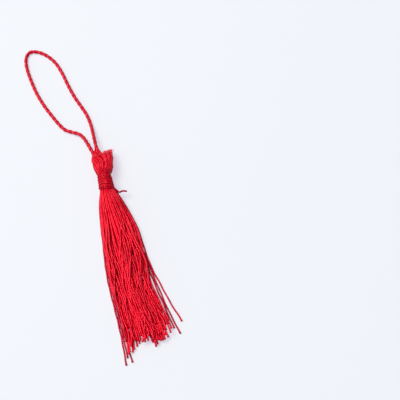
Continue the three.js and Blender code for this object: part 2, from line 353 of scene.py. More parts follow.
def silky(name, crimson, deep, bright, filaments, lay, bump, shine=0.48):
    """Rayon: shiny continuous filaments that lie at a slant along the yarn and catch the light in
    streaks. Its colour runs from crimson where it is darkest to bright, with each yarn's tone and with
    streaks along the filaments that are painted highlight and painted shade. filaments is their number
    round the yarn, drawn coarser than real to show, and lay is how many millimetres of yarn one of them
    takes to go round. Where a piece marks the grooves between its plies, they get painted shade."""
    # Light that enters a dyed filament comes back coloured, so the glints are red and not white
    surface = {"Metallic": 0.15, "Specular IOR Level": shine, "Specular Tint": srgb("#FF98B0")}
    material, tree, shader = new_material(name, surface)
    place = add_node(tree, "ShaderNodeUVMap", uv_map="yarn_uv").outputs[0]
    parts = add_node(tree, "ShaderNodeSeparateXYZ", {0: place}).outputs
    tone = add_node(tree, "ShaderNodeAttribute", attribute_name="tone").outputs["Fac"]
    turns = maths(tree, "ADD", parts["X"], maths(tree, "DIVIDE", parts["Y"], lay))
    phase = maths(tree, "MULTIPLY", turns, filaments * 2 * math.pi)
    lines = maths(tree, "SINE", phase)
    streak_place = add_node(
        tree,
        "ShaderNodeCombineXYZ",
        {
            "X": maths(tree, "MULTIPLY", maths(tree, "FRACT", turns), 4.0),
            "Y": maths(tree, "MULTIPLY", parts["Y"], 0.15),
            "Z": maths(tree, "MULTIPLY", tone, 60.0),
        },
    ).outputs[0]
    streaks = add_node(
        tree, "ShaderNodeTexNoise", {"Vector": streak_place, "Scale": 1.0, "Detail": 3.0}
    ).outputs["Fac"]
    # Painted highlight and painted shade: the streaks make lighter and darker runs along the filaments in
    # the colour
    shade = maths(tree, "ADD", maths(tree, "MULTIPLY", tone, 0.65), maths(tree, "MULTIPLY", streaks, 0.35))
    # Painted shade: where a piece marks the grooves between its plies, they are darkened towards crimson
    groove_shade = add_node(tree, "ShaderNodeAttribute", attribute_name="groove_shade").outputs["Fac"]
    shade = maths(tree, "SUBTRACT", shade, maths(tree, "MULTIPLY", groove_shade, 0.42))
    ramp = add_node(tree, "ShaderNodeValToRGB", {"Fac": shade})
    ramp.color_ramp.elements[0].position = 0.06
    ramp.color_ramp.elements[0].color = crimson
    ramp.color_ramp.elements[1].position = 0.72
    ramp.color_ramp.elements[1].color = bright
    ramp.color_ramp.elements.new(0.26).color = deep
    tree.links.new(ramp.outputs["Color"], shader.inputs["Base Color"])
    relief = maths(tree, "ADD", maths(tree, "MULTIPLY", lines, 0.35), streaks)
    bumps = add_node(
        tree, "ShaderNodeBump", {"Strength": bump, "Distance": 0.03 * MM, "Height": relief}
    )
    tree.links.new(bumps.outputs["Normal"], shader.inputs["Normal"])
    tree.links.new(remap(tree, streaks, 0.3, 0.7, 0.18, 0.32), shader.inputs["Roughness"])
    return material


def yarn_finish(settings):
    """The hank's finish, shared by the head and the skirt."""
    name = "twisted_rayon_yarn"
    made = bpy.data.materials.get(name)
    return made or silky(name, *reds(settings), filaments=5, lay=8.0, bump=0.35)


def new_tree(name, *sockets):
    """An empty geometry tree with the named inputs, and its group input's outputs."""
    tree = bpy.data.node_groups.new(name, "GeometryNodeTree")
    tree.interface.new_socket("Geometry", in_out="INPUT", socket_type="NodeSocketGeometry")
    for label, kind, default in sockets:
        socket = tree.interface.new_socket(label, in_out="INPUT", socket_type="NodeSocket" + kind)
        if default is not None:
            socket.default_value = default
    tree.interface.new_socket("Geometry", in_out="OUTPUT", socket_type="NodeSocketGeometry")
    return tree, tree.nodes.new("NodeGroupInput").outputs


def captured(tree, geometry, value):
    """Keeps a value that each point has here, for use further along the tree."""
    node = tree.nodes.new("GeometryNodeCaptureAttribute")
    node.capture_items.new("FLOAT", "Value")
    tree.links.new(geometry, node.inputs[0])
    tree.links.new(value, node.inputs[1])
    return node.outputs[0], node.outputs[1]


def put_out(tree, geometry, material):
    """Ends a tree: realizes its geometry, gives it the material and puts it out."""
    real = add_node(tree, "GeometryNodeRealizeInstances", {"Geometry": geometry}).outputs[0]
    dressed = add_node(tree, "GeometryNodeSetMaterial", {"Geometry": real, "Material": material})
    add_node(tree, "NodeGroupOutput", {"Geometry": dressed.outputs[0]})


def twisted_yarn_tree():
    """Turns paths of edges into closed yarns whose plies twist along them."""
    tree, given = new_tree(
        "Twisted Yarn",
        ("Radius", "Float", 0.25 * MM),
        ("Plies", "Int", 2),
        ("Ply Relief", "Float", 0.03),
        ("Twist Length", "Float", 3.4 * MM),
        ("Step", "Float", 0.4 * MM),
        ("Sides", "Int", 8),
        ("Seed", "Int", 1),
        ("Material", "Material", None),
    )
    curve = add_node(tree, "GeometryNodeMeshToCurve", {"Mesh": given["Geometry"]}).outputs[0]
    curve = add_node(
        tree, "GeometryNodeCurveSplineType", {"Curve": curve}, spline_type="CATMULL_ROM"
    ).outputs[0]
    curve = add_node(
        tree, "GeometryNodeResampleCurve", {"Curve": curve, "Length": given["Step"]}, mode="LENGTH"
    ).outputs[0]
    along = add_node(tree, "GeometryNodeSplineParameter").outputs
    curve, length = captured(tree, curve, along["Length"])
    owner = add_node(tree, "GeometryNodeCurveOfPoint").outputs["Curve Index"]
    start = add_node(
        tree,
        "FunctionNodeRandomValue",
        {3: 2 * math.pi, "ID": owner, "Seed": given["Seed"]},
        data_type="FLOAT",
    )
    turns = maths(tree, "DIVIDE", along["Length"], given["Twist Length"])
    tilt = maths(tree, "ADD", maths(tree, "MULTIPLY", turns, 2 * math.pi), start.outputs[1])
    curve = add_node(tree, "GeometryNodeSetCurveTilt", {"Curve": curve, "Tilt": tilt}).outputs[0]

    whole = add_node(tree, "GeometryNodeSplineLength").outputs["Length"]
    to_end = maths(tree, "MINIMUM", along["Length"], maths(tree, "SUBTRACT", whole, along["Length"]))
    blunt = maths(tree, "MINIMUM", maths(tree, "DIVIDE", to_end, given["Step"]), 1.0)
    at_end = maths(tree, "LESS_THAN", to_end, maths(tree, "MULTIPLY", given["Step"], 0.1))
    inwards = maths(tree, "SIGN", maths(tree, "SUBTRACT", 0.5, along["Factor"]))
    reach = maths(tree, "MULTIPLY", maths(tree, "MULTIPLY", inwards, given["Step"]), 0.7)
    shift = add_node(tree, "ShaderNodeVectorMath", operation="SCALE")
    tangent = add_node(tree, "GeometryNodeInputTangent").outputs[0]
    tree.links.new(tangent, shift.inputs[0])
    tree.links.new(reach, shift.inputs["Scale"])
    thickness = add_node(tree, "GeometryNodeInputNamedAttribute", {"Name": "thickness"}).outputs[0]
    scale = maths(tree, "MULTIPLY", maths(tree, "MULTIPLY", blunt, thickness), given["Radius"])
    curve, scale = captured(tree, curve, scale)
    curve = add_node(
        tree,
        "GeometryNodeSetPosition",
        {"Geometry": curve, "Selection": at_end, "Offset": shift.outputs[0]},
    ).outputs[0]

    # The section is an open ring that closes on itself, so that its seam can hold a UV edge
    ring = add_node(tree, "GeometryNodeCurvePrimitiveLine").outputs[0]
    count = maths(tree, "ADD", given["Sides"], 1.0)
    ring = add_node(
        tree, "GeometryNodeResampleCurve", {"Curve": ring, "Count": count}, mode="COUNT"
    ).outputs[0]
    share = add_node(tree, "GeometryNodeSplineParameter").outputs["Factor"]
    ring, around = captured(tree, ring, share)
    angle = maths(tree, "MULTIPLY", share, 2 * math.pi)
    lobe = maths(tree, "COSINE", maths(tree, "MULTIPLY", angle, given["Plies"]))
    reach = maths(tree, "ADD", maths(tree, "MULTIPLY", lobe, given["Ply Relief"]), 1.0)
    x = maths(tree, "MULTIPLY", reach, maths(tree, "COSINE", angle))
    y = maths(tree, "MULTIPLY", reach, maths(tree, "SINE", angle))
    corner = add_node(tree, "ShaderNodeCombineXYZ", {"X": x, "Y": y}).outputs[0]
    ring = add_node(tree, "GeometryNodeSetPosition", {"Geometry": ring, "Position": corner}).outputs[0]

    mesh = add_node(
        tree, "GeometryNodeCurveToMesh", {"Curve": curve, "Profile Curve": ring, "Scale": scale}
    ).outputs[0]
    millimetres = maths(tree, "DIVIDE", length, MM)
    place = add_node(tree, "ShaderNodeCombineXYZ", {"X": around, "Y": millimetres}).outputs[0]
    stored = add_node(
        tree, "GeometryNodeStoreNamedAttribute", {"Geometry": mesh}, data_type="FLOAT2", domain="CORNER"
    )
    stored.inputs["Name"].default_value = "yarn_uv"
    tree.links.new(place, stored.inputs["Value"])
    mesh = add_node(
        tree, "GeometryNodeMergeByDistance", {"Geometry": stored.outputs[0], "Distance": 0.001 * MM}
    ).outputs[0]
    mesh = add_node(tree, "GeometryNodeSetShadeSmooth", {"Geometry": mesh}).outputs[0]
    put_out(tree, mesh, given["Material"])
    return tree


def plied_cord_tree(yarn_tree):
    """Lays plies round a path in a right-handed twist and makes each one a yarn."""
    tree, given = new_tree(
        "Plied Cord",
        ("Diameter", "Float", 1.4 * MM),
        ("Plies", "Int", 2),
        ("Lay Length", "Float", 4 * MM),
        ("Step", "Float", 0.25 * MM),
        ("Material", "Material", None),
    )
    curve = add_node(tree, "GeometryNodeMeshToCurve", {"Mesh": given["Geometry"]}).outputs[0]
    curve = add_node(
        tree, "GeometryNodeResampleCurve", {"Curve": curve, "Length": given["Step"]}, mode="LENGTH"
    ).outputs[0]
    copies = add_node(
        tree, "GeometryNodeDuplicateElements", {"Geometry": curve, "Amount": given["Plies"]}, domain="SPLINE"
    )
    share = maths(tree, "DIVIDE", copies.outputs["Duplicate Index"], given["Plies"])
    along = add_node(tree, "GeometryNodeSplineParameter").outputs["Length"]
    turns = maths(tree, "ADD", maths(tree, "DIVIDE", along, given["Lay Length"]), share)
    angle = maths(tree, "MULTIPLY", turns, 2 * math.pi)
    normal = add_node(tree, "GeometryNodeInputNormal").outputs["Normal"]
    tangent = add_node(tree, "GeometryNodeInputTangent").outputs[0]
    turned = add_node(
        tree,
        "ShaderNodeVectorRotate",
        {"Vector": normal, "Axis": tangent, "Angle": angle},
        rotation_type="AXIS_ANGLE",
    ).outputs[0]
    ply_offset = maths(tree, "MULTIPLY", given["Diameter"], 0.145)
    offset = add_node(tree, "ShaderNodeVectorMath", {0: turned}, operation="SCALE")
    tree.links.new(ply_offset, offset.inputs["Scale"])
    plies = add_node(
        tree, "GeometryNodeSetPosition", {"Geometry": copies.outputs[0], "Offset": offset.outputs[0]}
    ).outputs[0]
    lines = add_node(tree, "GeometryNodeCurveToMesh", {"Curve": plies, "Scale": 1.0}).outputs[0]
    yarns = tree.nodes.new("GeometryNodeGroup")
    yarns.node_tree = yarn_tree
    for key, value in {
        "Geometry": lines,
        "Radius": maths(tree, "MULTIPLY", given["Diameter"], 0.38),
        "Step": given["Step"],
        "Material": given["Material"],
    }.items():
        tree.links.new(value, yarns.inputs[key])
    fixed = {"Plies": 3, "Ply Relief": 0.05, "Twist Length": -2.6 * MM, "Sides": 12, "Seed": 2}
    for key, value in fixed.items():
        yarns.inputs[key].default_value = value
    # Grooves lie nearer the cord's middle than the plies' backs: 1 there, and 0 on the backs. This marks
    # where painted shade darkens the grooves between the plies.
    to_middle = add_node(
        tree, "GeometryNodeProximity", {0: given["Geometry"]}, target_element="EDGES"
    ).outputs["Distance"]
    groove_shade = remap(tree, maths(tree, "DIVIDE", to_middle, given["Diameter"]), 0.37, 0.47, 1.0, 0.0)
    stored = add_node(
        tree,
        "GeometryNodeStoreNamedAttribute",
        {"Geometry": yarns.outputs[0], "Name": "groove_shade"},
        data_type="FLOAT",
        domain="POINT",
    )
    tree.links.new(groove_shade, stored.inputs["Value"])
    put_out(tree, stored.outputs[0], given["Material"])
    return tree


def spin(tree, name, paths, inputs):
    """Runs a tree over paths of points in millimetres and returns one plain mesh object. A path is
    (points, thickness at each point, tone)."""
    vertices, edges, thicknesses, tones = [], [], [], []
    for points, thickness, tone in paths:
        first = len(vertices)
        vertices.extend(np.asarray(points) * MM)
        edges.extend((first + i, first + i + 1) for i in range(len(points) - 1))
        thicknesses.extend(np.broadcast_to(thickness, len(points)))
        tones.extend([tone] * len(points))
    mesh = bpy.data.meshes.new(name)
    mesh.from_pydata(vertices, edges, [])
    mesh.attributes.new("thickness", "FLOAT", "POINT").data.foreach_set("value", thicknesses)
    mesh.attributes.new("tone", "FLOAT", "POINT").data.foreach_set("value", tones)
    piece = placed(name, mesh)
    modifier = piece.modifiers.new("Yarns", "NODES")
    modifier.node_group = tree
    for socket in tree.interface.items_tree:
        if socket.in_out == "INPUT" and socket.name in inputs:
            modifier[socket.identifier] = inputs[socket.name]
    piece.update_tag()
    evaluated = piece.evaluated_get(bpy.context.evaluated_depsgraph_get())
    grown = bpy.data.meshes.new_from_object(evaluated)
    piece.modifiers.clear()
    piece.data = grown
    bpy.data.meshes.remove(mesh)
    grown.name = name
    if not grown.polygons:
        raise RuntimeError(f"{name} came out of its node tree empty")
    return piece


def finish_piece(piece, slot, *nodes):
    """Ties a piece to the body and hides the imported nodes that it stands for. slot is not used."""
    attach(piece, BODY)
    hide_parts(*nodes)


def smooth_route(route, steps):
    """Points on a Catmull-Rom curve through the route."""
    given = np.array(route, float)
    padded = np.vstack([2 * given[0] - given[1], given, 2 * given[-1] - given[-2]])
    points = []
    for a, b, c, d in zip(padded, padded[1:], padded[2:], padded[3:]):
        for step in range(steps):
            t = step / steps
            bend = (2 * a - 5 * b + 4 * c - d) * t**2 + (3 * b - 3 * c + d - a) * t**3
            points.append(0.5 * (2 * b + (c - a) * t + bend))
    points.append(given[-1])
    return np.array(points)


def settle(points, radius, rounds):
    """Pushes touching yarns apart in every section and lets them sink, so that they lie packed on
    the table. points is sections by yarns by (x, z), and radius is one number a section."""
    wanted = points.copy()
    reach = 2 * radius[:, None, None]
    alike = np.eye(points.shape[1], dtype=np.float32)[None] * 100
    for _ in range(rounds):
        apart = points[:, :, None] - points[:, None]
        distance = np.sqrt((apart**2).sum(-1)) + 1e-4
        push = np.clip(reach - distance - alike, 0, None) / distance
        points = points + 0.33 * (apart * push[..., None]).sum(2)
        points = points + 0.05 * (wanted - points)
        smoothed = points.copy()
        smoothed[1:-1] = 0.6 * points[1:-1] + 0.2 * (points[:-2] + points[2:])
        points = smoothed
        points[..., 1] = np.maximum(points[..., 1] - 0.012, radius[:, None])
    for _ in range(5):
        points[1:-1] = 0.5 * points[1:-1] + 0.25 * (points[:-2] + points[2:])
    return points


def skirt_paths(count, radius, seed):
    """The skirt's yarns, from inside the binding to their cut ends: an even bundle at the neck that
    fans out, sinks to the table, parts into clumps and is cut unevenly."""
    chance = np.random.default_rng(seed)
    stray_side = np.array([side for side, _ in STRAYS])
    even = count - len(STRAYS)
    number = np.arange(even) + 0.5
    reach = np.sqrt(number / even)
    angle = number * GOLDEN_ANGLE
    side = np.concatenate([reach * np.cos(angle), stray_side])
    rise = np.concatenate([reach * np.sin(angle), 0 * stray_side])
    edge = np.sqrt(np.clip(1 - side**2, 0.02, 1))
    layer = np.clip((rise / edge + 1) / 2, 0, 1)
    layer[even:] = 0.1
    riders = layer > 0.82

    clump_side = np.linspace(-1.05, 1.05, 13) + chance.normal(0, 0.04, 13)
    clump = np.abs(side[:, None] + 0.14 * (layer[:, None] - 0.5) - clump_side).argmin(1)
    clump_cut = chance.uniform(-0.5, 1.5, 13)
    clump_phase = chance.uniform(0, 2 * math.pi, (2, 13))
    clump_tone = chance.normal(0, 0.1, 13)
    cut = CUT_LINE.at("y", side) - 0.9 + clump_cut[clump] + chance.exponential(2.5, count).clip(0, 9)
    cut[even:] = [route[-1][0] for _, route in STRAYS]

    y = np.arange(27.0, -42.5, -1.0)[:, None]
    depth = NECK_LOW - y
    settled = smooth_share(depth / 12.5)
    loose = smooth_share(depth / 34)
    radii = radius * SKIRT.at("yarn", y)[:, 0]
    half = SKIRT.at("half_width", y)
    height = SKIRT.at("height", y)

    gather = (0.45 * loose + 0.35 * smooth_share((-20 - y) / 12)) * (clump_side[clump] - side)
    own_phase = chance.uniform(0, 2 * math.pi, (3, count))
    stretch = chance.uniform(0.8, 1.25, (3, count))
    lively = 0.7 + 0.6 * layer + 0.7 * riders
    wander = 0.45 * np.sin(2 * math.pi * y / 38 + clump_phase[0][clump])
    wander = wander + 0.25 * np.sin(2 * math.pi * y / 18 + clump_phase[1][clump])
    own = 0.42 * np.sin(2 * math.pi * y / (25 * stretch[0]) + own_phase[0])
    own = own + 0.2 * np.sin(2 * math.pi * y / (11 * stretch[1]) + own_phase[1])
    crossing = chance.normal(0, 0.09, count) * half * smooth_share(depth / 55)
    rider_crossing = np.where(riders, chance.normal(0, 0.34, count), 0)
    crossing = crossing + rider_crossing * half * smooth_share(depth / 70)
    middle = SKIRT.at("middle", y)
    x = middle + half * (side + gather) + loose * lively * (wander + own) + crossing
    x = np.clip(x, middle - half, middle + half)
    splay = np.clip(chance.normal(0, 0.6, count), -1.2 * (1 + side), 1.2 * (1 - side))
    x = x + splay * smooth_share((-27 - y) / 10)
    for i, (_, route) in enumerate(STRAYS):
        free = Sections(("y", "x"), *route).at("x", y[:, 0])
        left = smooth_share((route[0][0] + 3 - y[:, 0]) / 6)
        x[:, even + i] += left * (free - x[:, even + i])

    root_z = NECK_Z + (np.minimum(half, 2.75) - radii[:, None]) * edge * (2 * layer - 1)
    lift = chance.uniform(-0.3, 0.5, count) * loose + 0.5 * riders * loose
    pile = (height - 2 * radius) * edge**0.8 * np.clip(layer + 0.3 * lift, 0, 1.25)
    pile[:, even:] *= 1 - smooth_share(depth / 30)
    z = root_z + settled * (radii[:, None] + pile - root_z)
    points = settle(np.stack([x, z], -1).astype(np.float32), radii.astype(np.float32), 60)

    crimp = 0.06 * loose * np.sin(2 * math.pi * y / (7 * stretch[2]) + own_phase[2])
    paths = []
    for i in range(count):
        stop = int(np.searchsorted(-y[:, 0], -cut[i]))
        share = y[stop - 1, 0] - cut[i]
        last = points[stop - 1, i] + share * (points[stop, i] - points[stop - 1, i])
        xs = np.append(points[:stop, i, 0] + crimp[:stop, i], last[0])
        ys = np.append(y[:stop, 0], cut[i])
        thickness = np.append(radii[:stop], radius) / radius
        thickness = thickness * (1 + 0.35 * smooth_share((cut[i] + 1.6 - ys) / 1.6))
        # Soft yarns press into each other, so each is a little thicker than its share of room,
        # the less the looser they lie
        thickness = thickness * (1.17 - 0.13 * smooth_share((NECK_LOW - ys) / 45))
        zs = np.maximum(np.append(points[:stop, i, 1], last[1]), radius * thickness)
        # Lone yarns beside the skirt are painted darker, towards crimson: painted shade
        tone = 0.52 + clump_tone[clump[i]] + chance.normal(0, 0.26) - 0.6 * (i >= even)
        tone = float(np.clip(tone, 0, 1))
        paths.append((np.stack([xs, ys, zs], 1), thickness, tone))
    return paths, side


def over_head(angle, y, lift, radius):
    """Points on the hank's surface at an angle from straight up, towards +X."""
    reach_x = HEAD.at("half_width", y) - radius + lift
    reach_z = HEAD.at("half_depth", y) - radius + lift
    x = HEAD.at("x", y) + reach_x * np.sin(angle)
    z = HEAD.at("z", y) + reach_z * np.cos(angle)
    return np.stack([x, y, np.maximum(z, radius)], -1)


def crown_height(x):
    """Y of the folded yarns' middles at the crown."""
    across = (x - HEAD.at("x", CROWN_Y)) / 3.9
    dips = sum(depth * np.exp(-(((x - place) / width) ** 2)) for place, width, depth in DIPS)
    return CROWN_Y + CORNER_RISE * across**2 - dips


def head_paths(folds, radius, seed):
    """Yarns that rise from the neck, fold over the crown and go down the back. Those at the right
    were cut and end at the crown. A first layer rises evenly, painted deep and dark as shade, and
    the bundles of the front lie over it."""
    chance = np.random.default_rng(seed)
    paths = []
    climb = np.linspace(NECK_HIGH - 1.2, FOLD_Y, 18)
    share = (climb - NECK_HIGH) / (FOLD_Y - NECK_HIGH)
    grown = smooth_share(share * 2.2)
    thin = (0.15 + (radius - 0.15) * grown) / radius
    over = np.linspace(0, math.pi, 19)[1:-1]
    centre_z = HEAD.at("z", FOLD_Y)

    def rise(angle, lift):
        points = over_head(angle + 0 * climb, climb, lift * grown, radius * thin)
        hollow = hollow_at(points[:, 0], climb) * np.clip(np.cos(angle), 0, 1) * (lift < -0.3)
        return points - np.stack([0 * hollow, 0 * hollow, hollow], 1)

    def guided(line, lift):
        x = np.interp(climb, GUIDE_HEIGHTS, line)
        sway = 0.06 * grown * np.sin(2 * math.pi * climb / 7 + chance.uniform(0, 2 * math.pi))
        reach = HEAD.at("half_width", climb) - radius * thin
        angle = np.arcsin(np.clip((x + sway - HEAD.at("x", climb)) / reach, -0.995, 0.995))
        return over_head(angle, climb, lift * grown, radius * thin)

    def fold(front, crown_x, back_angle, lift, shade):
        back = rise(back_angle, 0)
        top = crown_height(crown_x) + chance.normal(0, 0.05) + 0.6 * lift
        middle = (front[-1, 2] + back[-1, 2]) / 2
        half = (front[-1, 2] - back[-1, 2]) / 2
        side = np.where(over < math.pi / 2, front[-1, 0], back[-1, 0])
        x = side + (crown_x - side) * np.sin(over) ** 1.5
        y = FOLD_Y + (top - FOLD_Y) * np.sin(over)
        sunk = hollow_at(x, y) * (over < math.pi / 2) * (lift < -0.3)
        z = middle + half * np.cos(over) * np.abs(np.cos(over)) ** 0.5 - sunk
        bend = np.stack([x, y, np.maximum(z, radius)], -1)
        thickness = np.concatenate([thin, np.ones(len(over)), thin[::-1]])
        paths.append((np.vstack([front, bend, back[::-1]]), thickness, shade))

    def cut_end(points, reach, shade):
        start = points[-1]
        end = start + (chance.uniform(0.0, 0.3), 0, 0)
        end[2] = centre_z + reach * (start[2] - centre_z)
        end[1] = CUT_Y - CUT_SLOPE * end[2] - chance.uniform(0.5, 1.4)
        middle = (start + end) / 2 + (0, 0, 0.1 * (start[2] - end[2]))
        thickness = np.append(np.resize(thin[-len(points) :], len(points)), [1, 0.95])
        paths.append((np.vstack([points, middle, end]), thickness, shade))

    def tone(usual):
        return float(np.clip(chance.normal(usual, 0.25), 0, 1))

    # The first layer is painted dark, as shade under the bundles that lie over it
    for i in range(folds):
        angle = math.pi * ((i + 0.5) / folds - 0.5)
        front = rise(angle, -0.55)
        if angle < 0.45:
            fold(front, front[-1, 0], math.pi - angle, -0.55, tone(0.2))
        else:
            cut_end(front, 0.8, tone(0.3))
            cut_end(rise(math.pi - angle, 0), 0.82, tone(0.4))
    for count, *lines in BUNDLES:
        places = np.linspace(0, 1, len(lines))
        for i in range(count):
            across = (i + 0.5) / count
            line = [np.interp(across, places, column) for column in zip(*lines)]
            # Every other yarn lies higher and is painted lighter, and those between lie lower and are
            # painted darker: painted light and shade
            lift = 0.16 - 1.2 * (across - 0.5) ** 2 + chance.uniform(-0.08, 0.08) + 0.3 * (i % 2)
            front = guided(line, lift)
            shade = tone(0.2 + 0.55 * (i % 2))
            if line[-1] < 0.2:
                angle = math.asin(np.clip((front[-1, 0] - HEAD.at("x", FOLD_Y)) / 3.9, -1, 1))
                fold(front, line[-1], math.pi - angle, lift, shade)
            else:
                cut_end(front, 0.82, shade)
    for route in PULLED_UP:
        pulled = smooth_route(route, 4)
        paths.append((pulled, np.linspace(1, 0.6, len(pulled)), tone(0.4)))
    for i in range(26):
        angle = chance.uniform(0.5, 2.4)
        cut_end(over_head(angle, climb[-6:], chance.uniform(-2.2, -0.6), radius), 0.95, tone(0.6))
    return paths


def hollow_at(x, y):
    """Depth of the hollow in front of the cords, over the evenly rising yarns."""
    place, height, slant, depth = HOLLOW
    aside = x - place - slant * (y - height)
    return depth * np.exp(-((aside / 0.7) ** 2) - ((y - height) / 1.4) ** 2)


def tuft_paths(seed):
    """Loose filaments that stand out of the cut yarns at the crown's right corner."""
    chance = np.random.default_rng(seed)
    paths = []
    for _ in range(300):
        angle = chance.uniform(0.5, 2.5)
        lift = -0.1 - 2.4 * chance.random() ** 1.5
        base = over_head(angle, FOLD_Y + 1.2, lift, 0.1)
        base[2] = HEAD.at("z", FOLD_Y) + 0.8 * (base[2] - HEAD.at("z", FOLD_Y))
        right = np.clip((base[0] - 0.2) / 2, 0, 1)
        end_y = CUT_Y - CUT_SLOPE * base[2] + chance.uniform(-0.8, 0.9) * (0.5 + 0.5 * right)
        lean = chance.normal(0.05 + 0.1 * right, 0.13)
        rise = np.linspace(0, 1, 6)
        length = end_y - base[1]
        bow = chance.normal(0, 0.1)
        x = base[0] + lean * length * rise + bow * rise**2 * length
        y = base[1] + length * rise
        z = base[2] + chance.normal(0, 0.12) * length * rise
        paths.append((np.stack([x, y, z], 1), np.linspace(1, 0.7, 6), float(chance.uniform(0, 1))))
    return paths


def binding_paths(turns, radius, seed):
    """One thread wound down the neck in close turns, five turns slanting over them, and the
    cut tail."""
    chance = np.random.default_rng(seed)
    length = NECK_HIGH - NECK_LOW - 2 * radius
    turn = np.linspace(0, turns, turns * 30)
    angle = 2 * math.pi * (turn + 0.5)
    uneven_y = 0.05 * np.sin(angle * 0.31 + 1) + 0.03 * np.sin(angle * 1.13)
    bulge = np.interp(turn, np.arange(turns + 1), chance.normal(0, 0.035, turns + 1))
    bulge = bulge + 0.03 * np.sin(2 * angle + turn * 0.9)
    y = NECK_HIGH - radius - length * turn / turns + uneven_y
    left, right = np.clip(-np.sin(angle), 0, 1), np.clip(np.sin(angle), 0, 1)
    bulge = bulge + 0.22 * left * np.exp(-(((y - NECK_HIGH + 0.5) / 0.3) ** 2))
    bulge = bulge + 0.24 * smooth_share((28 - y) / 1.6) * (0.2 + 0.8 * right)
    reach = BINDING_RADIUS - 0.15 - radius + bulge
    x = HEAD.at("x", y) + reach * np.sin(angle)
    z = NECK_Z + reach * np.cos(angle)
    lean = 0.2 * (x - HEAD.at("x", y))
    paths = [(np.stack([x, y - lean, z], 1), 1.0, 0.5)]

    angle = np.linspace(-math.pi, 9 * math.pi, 150)
    share = (angle - angle[0]) / (angle[-1] - angle[0])
    y = NECK_HIGH - 0.75 - (length - 0.9) * share - 0.4 * np.sin(angle)
    tuck = 0.4 * np.clip(1 - np.minimum(share, 1 - share) / 0.04, 0, 1)
    reach = BINDING_RADIUS - radius + 0.12 + 0.16 * smooth_share((28 - y) / 1.6) - tuck
    x = HEAD.at("x", y) + reach * np.sin(angle)
    z = NECK_Z + reach * np.cos(angle)
    # The slanting turns are painted lighter than the close turns under them, though it is one thread:
    # painted light and shade
    paths.append((np.stack([x, y, z], 1), 1.1, 0.85))
    # The tail is painted dark, towards crimson: painted shade
    paths.append((smooth_route(TAIL_ROUTE, 8), np.linspace(1.75, 1.45, 7 * 8 + 1), 0.0))
    return paths


def core_mesh(name, inset):
    """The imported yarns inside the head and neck, as one closed form just under the surface yarns."""
    tip = CROWN_Y - 0.6
    neck = np.linspace(NECK_LOW - 0.6, NECK_HIGH + 0.4, 8)
    places = np.concatenate([neck, np.linspace(32.2, tip - 0.1, 20)])
    sides = 40
    around = np.arange(sides) / sides * 2 * math.pi
    rings = []
    for y in places:
        bent = math.sqrt(1 - (max(y - FOLD_Y, 0) / (tip - FOLD_Y)) ** 2)
        wide = (HEAD.at("half_width", y) - inset) * (0.6 + 0.4 * bent)
        deep = (HEAD.at("half_depth", y) - inset) * bent
        x = HEAD.at("x", y) + wide * np.sin(around)
        z = np.maximum(HEAD.at("z", y) + deep * np.cos(around), 0.08)
        rings.append(np.stack([x, np.full(sides, y), z], 1))
    ends = [rings[0].mean(0) - (0, 0.1, 0), rings[-1].mean(0) + (0, 0.1, 0)]
    vertices = np.vstack([*rings, *ends]) * MM
    faces = []
    for ring in range(len(places) - 1):
        for i in range(sides):
            j = (i + 1) % sides
            low, high = ring * sides, (ring + 1) * sides
            faces.append((low + i, low + j, high + j, high + i))
    first, last = len(vertices) - 2, len(vertices) - 1
    top = (len(places) - 1) * sides
    for i in range(sides):
        j = (i + 1) % sides
        faces.append((first, j, i))
        faces.append((last, top + i, top + j))
    mesh = bpy.data.meshes.new(name)
    mesh.from_pydata(vertices, [], faces)
    mesh.shade_smooth()
    return placed(name, mesh)


def reds(settings):
    return (*settings.crimson, 1.0), (*settings.deep, 1.0), (*settings.bright, 1.0)


